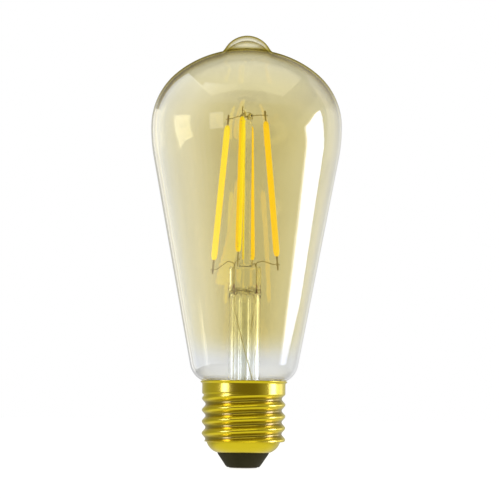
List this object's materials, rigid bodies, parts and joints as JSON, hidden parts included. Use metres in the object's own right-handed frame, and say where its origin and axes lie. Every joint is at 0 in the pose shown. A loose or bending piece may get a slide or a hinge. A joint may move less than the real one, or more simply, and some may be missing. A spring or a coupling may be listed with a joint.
{
  "type": "smart light bulb",
  "caption": "Amber teardrop LED filament lamp: pipped blown glass over filaments on a glass stem, brass Edison screw cap with driver and radio board inside.",
  "frame": {"origin": "centre of the lowest face, where the centre contact presses on the lampholder's contact", "axes": "+Z along the lamp's axis from the cap up to the glass tip, +X to the right and -Y towards the viewer in the pictured view"},
  "size_m": [0.0616, 0.0616, 0.139],
  "materials": {
    "envelope_glass": "clear blown glass with a thin amber coating that fades out above the cap",
    "stem_glass": "clear drawn glass",
    "phosphor": "yellow-orange phosphor silicone, satin",
    "chip_strip": "white ceramic strip with small chips",
    "nickel": "drawn nickel-plated wire and strip",
    "cap_brass": "bright rolled brass",
    "black_insulator": "near-black moulded glass, satin gloss",
    "contact_metal": "tinned contact plate",
    "cement": "baked basing cement, dull",
    "board_white": "white solder resist",
    "board_green": "green solder resist",
    "liner": "natural insulating sleeve",
    "copper": "bare and enamelled copper",
    "capacitor_sleeve": "dark shrink sleeve",
    "ferrite": "dull ferrite",
    "black_plastic": "moulded epoxy",
    "resistor_body": "painted ceramic body",
    "shield_metal": "pressed tinplate can",
    "antenna_ceramic": "fired ceramic"
  },
  "bodies": {
    "root": {"glass_envelope": "envelope_glass", "cap_shell": "cap_brass", "cap_insulator": "black_insulator", "centre_contact": "contact_metal", "basing_cement": "cement", "stem_press": "stem_glass", "exhaust_tube": "stem_glass", "support_rod": "stem_glass", "filament_coat_left": "phosphor", "chip_strip_left": "chip_strip", "filament_tab_left_top": "nickel", "filament_tab_left_bottom": "nickel", "top_wire_left": "nickel", "lead_wire_left": "nickel", "filament_coat_front": "phosphor", "chip_strip_front": "chip_strip", "filament_tab_front_top": "nickel", "filament_tab_front_bottom": "nickel", "top_wire_front": "nickel", "lead_wire_front": "nickel", "filament_coat_right": "phosphor", "chip_strip_right": "chip_strip", "filament_tab_right_top": "nickel", "filament_tab_right_bottom": "nickel", "top_wire_right": "nickel", "lead_wire_right": "nickel", "filament_coat_back": "phosphor", "chip_strip_back": "chip_strip", "filament_tab_back_top": "nickel", "filament_tab_back_bottom": "nickel", "top_wire_back": "nickel", "lead_wire_back": "nickel", "driver_board": "board_white", "driver_liner": "liner", "contact_wire": "copper", "shell_wire": "copper", "bulk_capacitor": "capacitor_sleeve", "inductor_core": "ferrite", "inductor_winding": "copper", "bridge_rectifier": "black_plastic", "fusible_resistor": "resistor_body", "driver_chip": "black_plastic", "radio_board": "board_green", "radio_shield": "shield_metal", "radio_antenna": "antenna_ceramic"}
  },
  "joints": []
}
